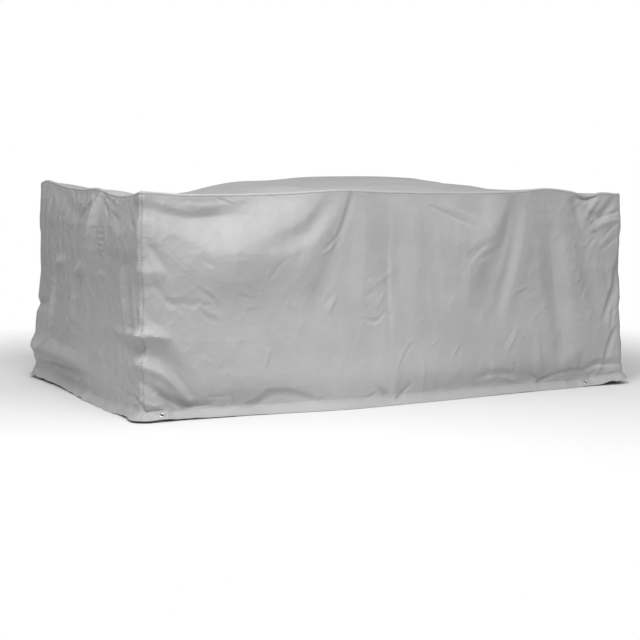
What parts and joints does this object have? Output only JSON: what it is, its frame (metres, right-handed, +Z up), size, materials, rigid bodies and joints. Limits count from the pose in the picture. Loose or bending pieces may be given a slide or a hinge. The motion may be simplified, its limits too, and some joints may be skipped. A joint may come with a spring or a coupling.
{
  "type": "patio furniture cover",
  "caption": "Fitted grey cloth cover for a patio dining set, draped over it, with a seamed top, four walls and eyelet hems.",
  "frame": {"origin": "on the ground under the middle of the cover's bounding box", "axes": "+X along the cover's length, +Y from the front wall to the back wall, +Z up"},
  "size_m": [2.5286, 1.6966, 1.0087],
  "materials": {
    "cover_cloth": "satin coated weave",
    "hem_cloth": "satin coated weave, doubled and stitched",
    "eyelet_metal": "bright plated"
  },
  "bodies": {
    "root": {"top_panel": "cover_cloth", "front_wall": "cover_cloth", "right_wall": "cover_cloth", "back_wall": "cover_cloth", "left_wall": "cover_cloth", "front_hem": "hem_cloth", "right_hem": "hem_cloth", "back_hem": "hem_cloth", "left_hem": "hem_cloth", "eyelet_front_left": "eyelet_metal", "eyelet_front_right": "eyelet_metal", "eyelet_right_front": "eyelet_metal", "eyelet_right_back": "eyelet_metal", "eyelet_back_right": "eyelet_metal", "eyelet_back_left": "eyelet_metal", "eyelet_left_back": "eyelet_metal", "eyelet_left_front": "eyelet_metal"}
  },
  "joints": []
}
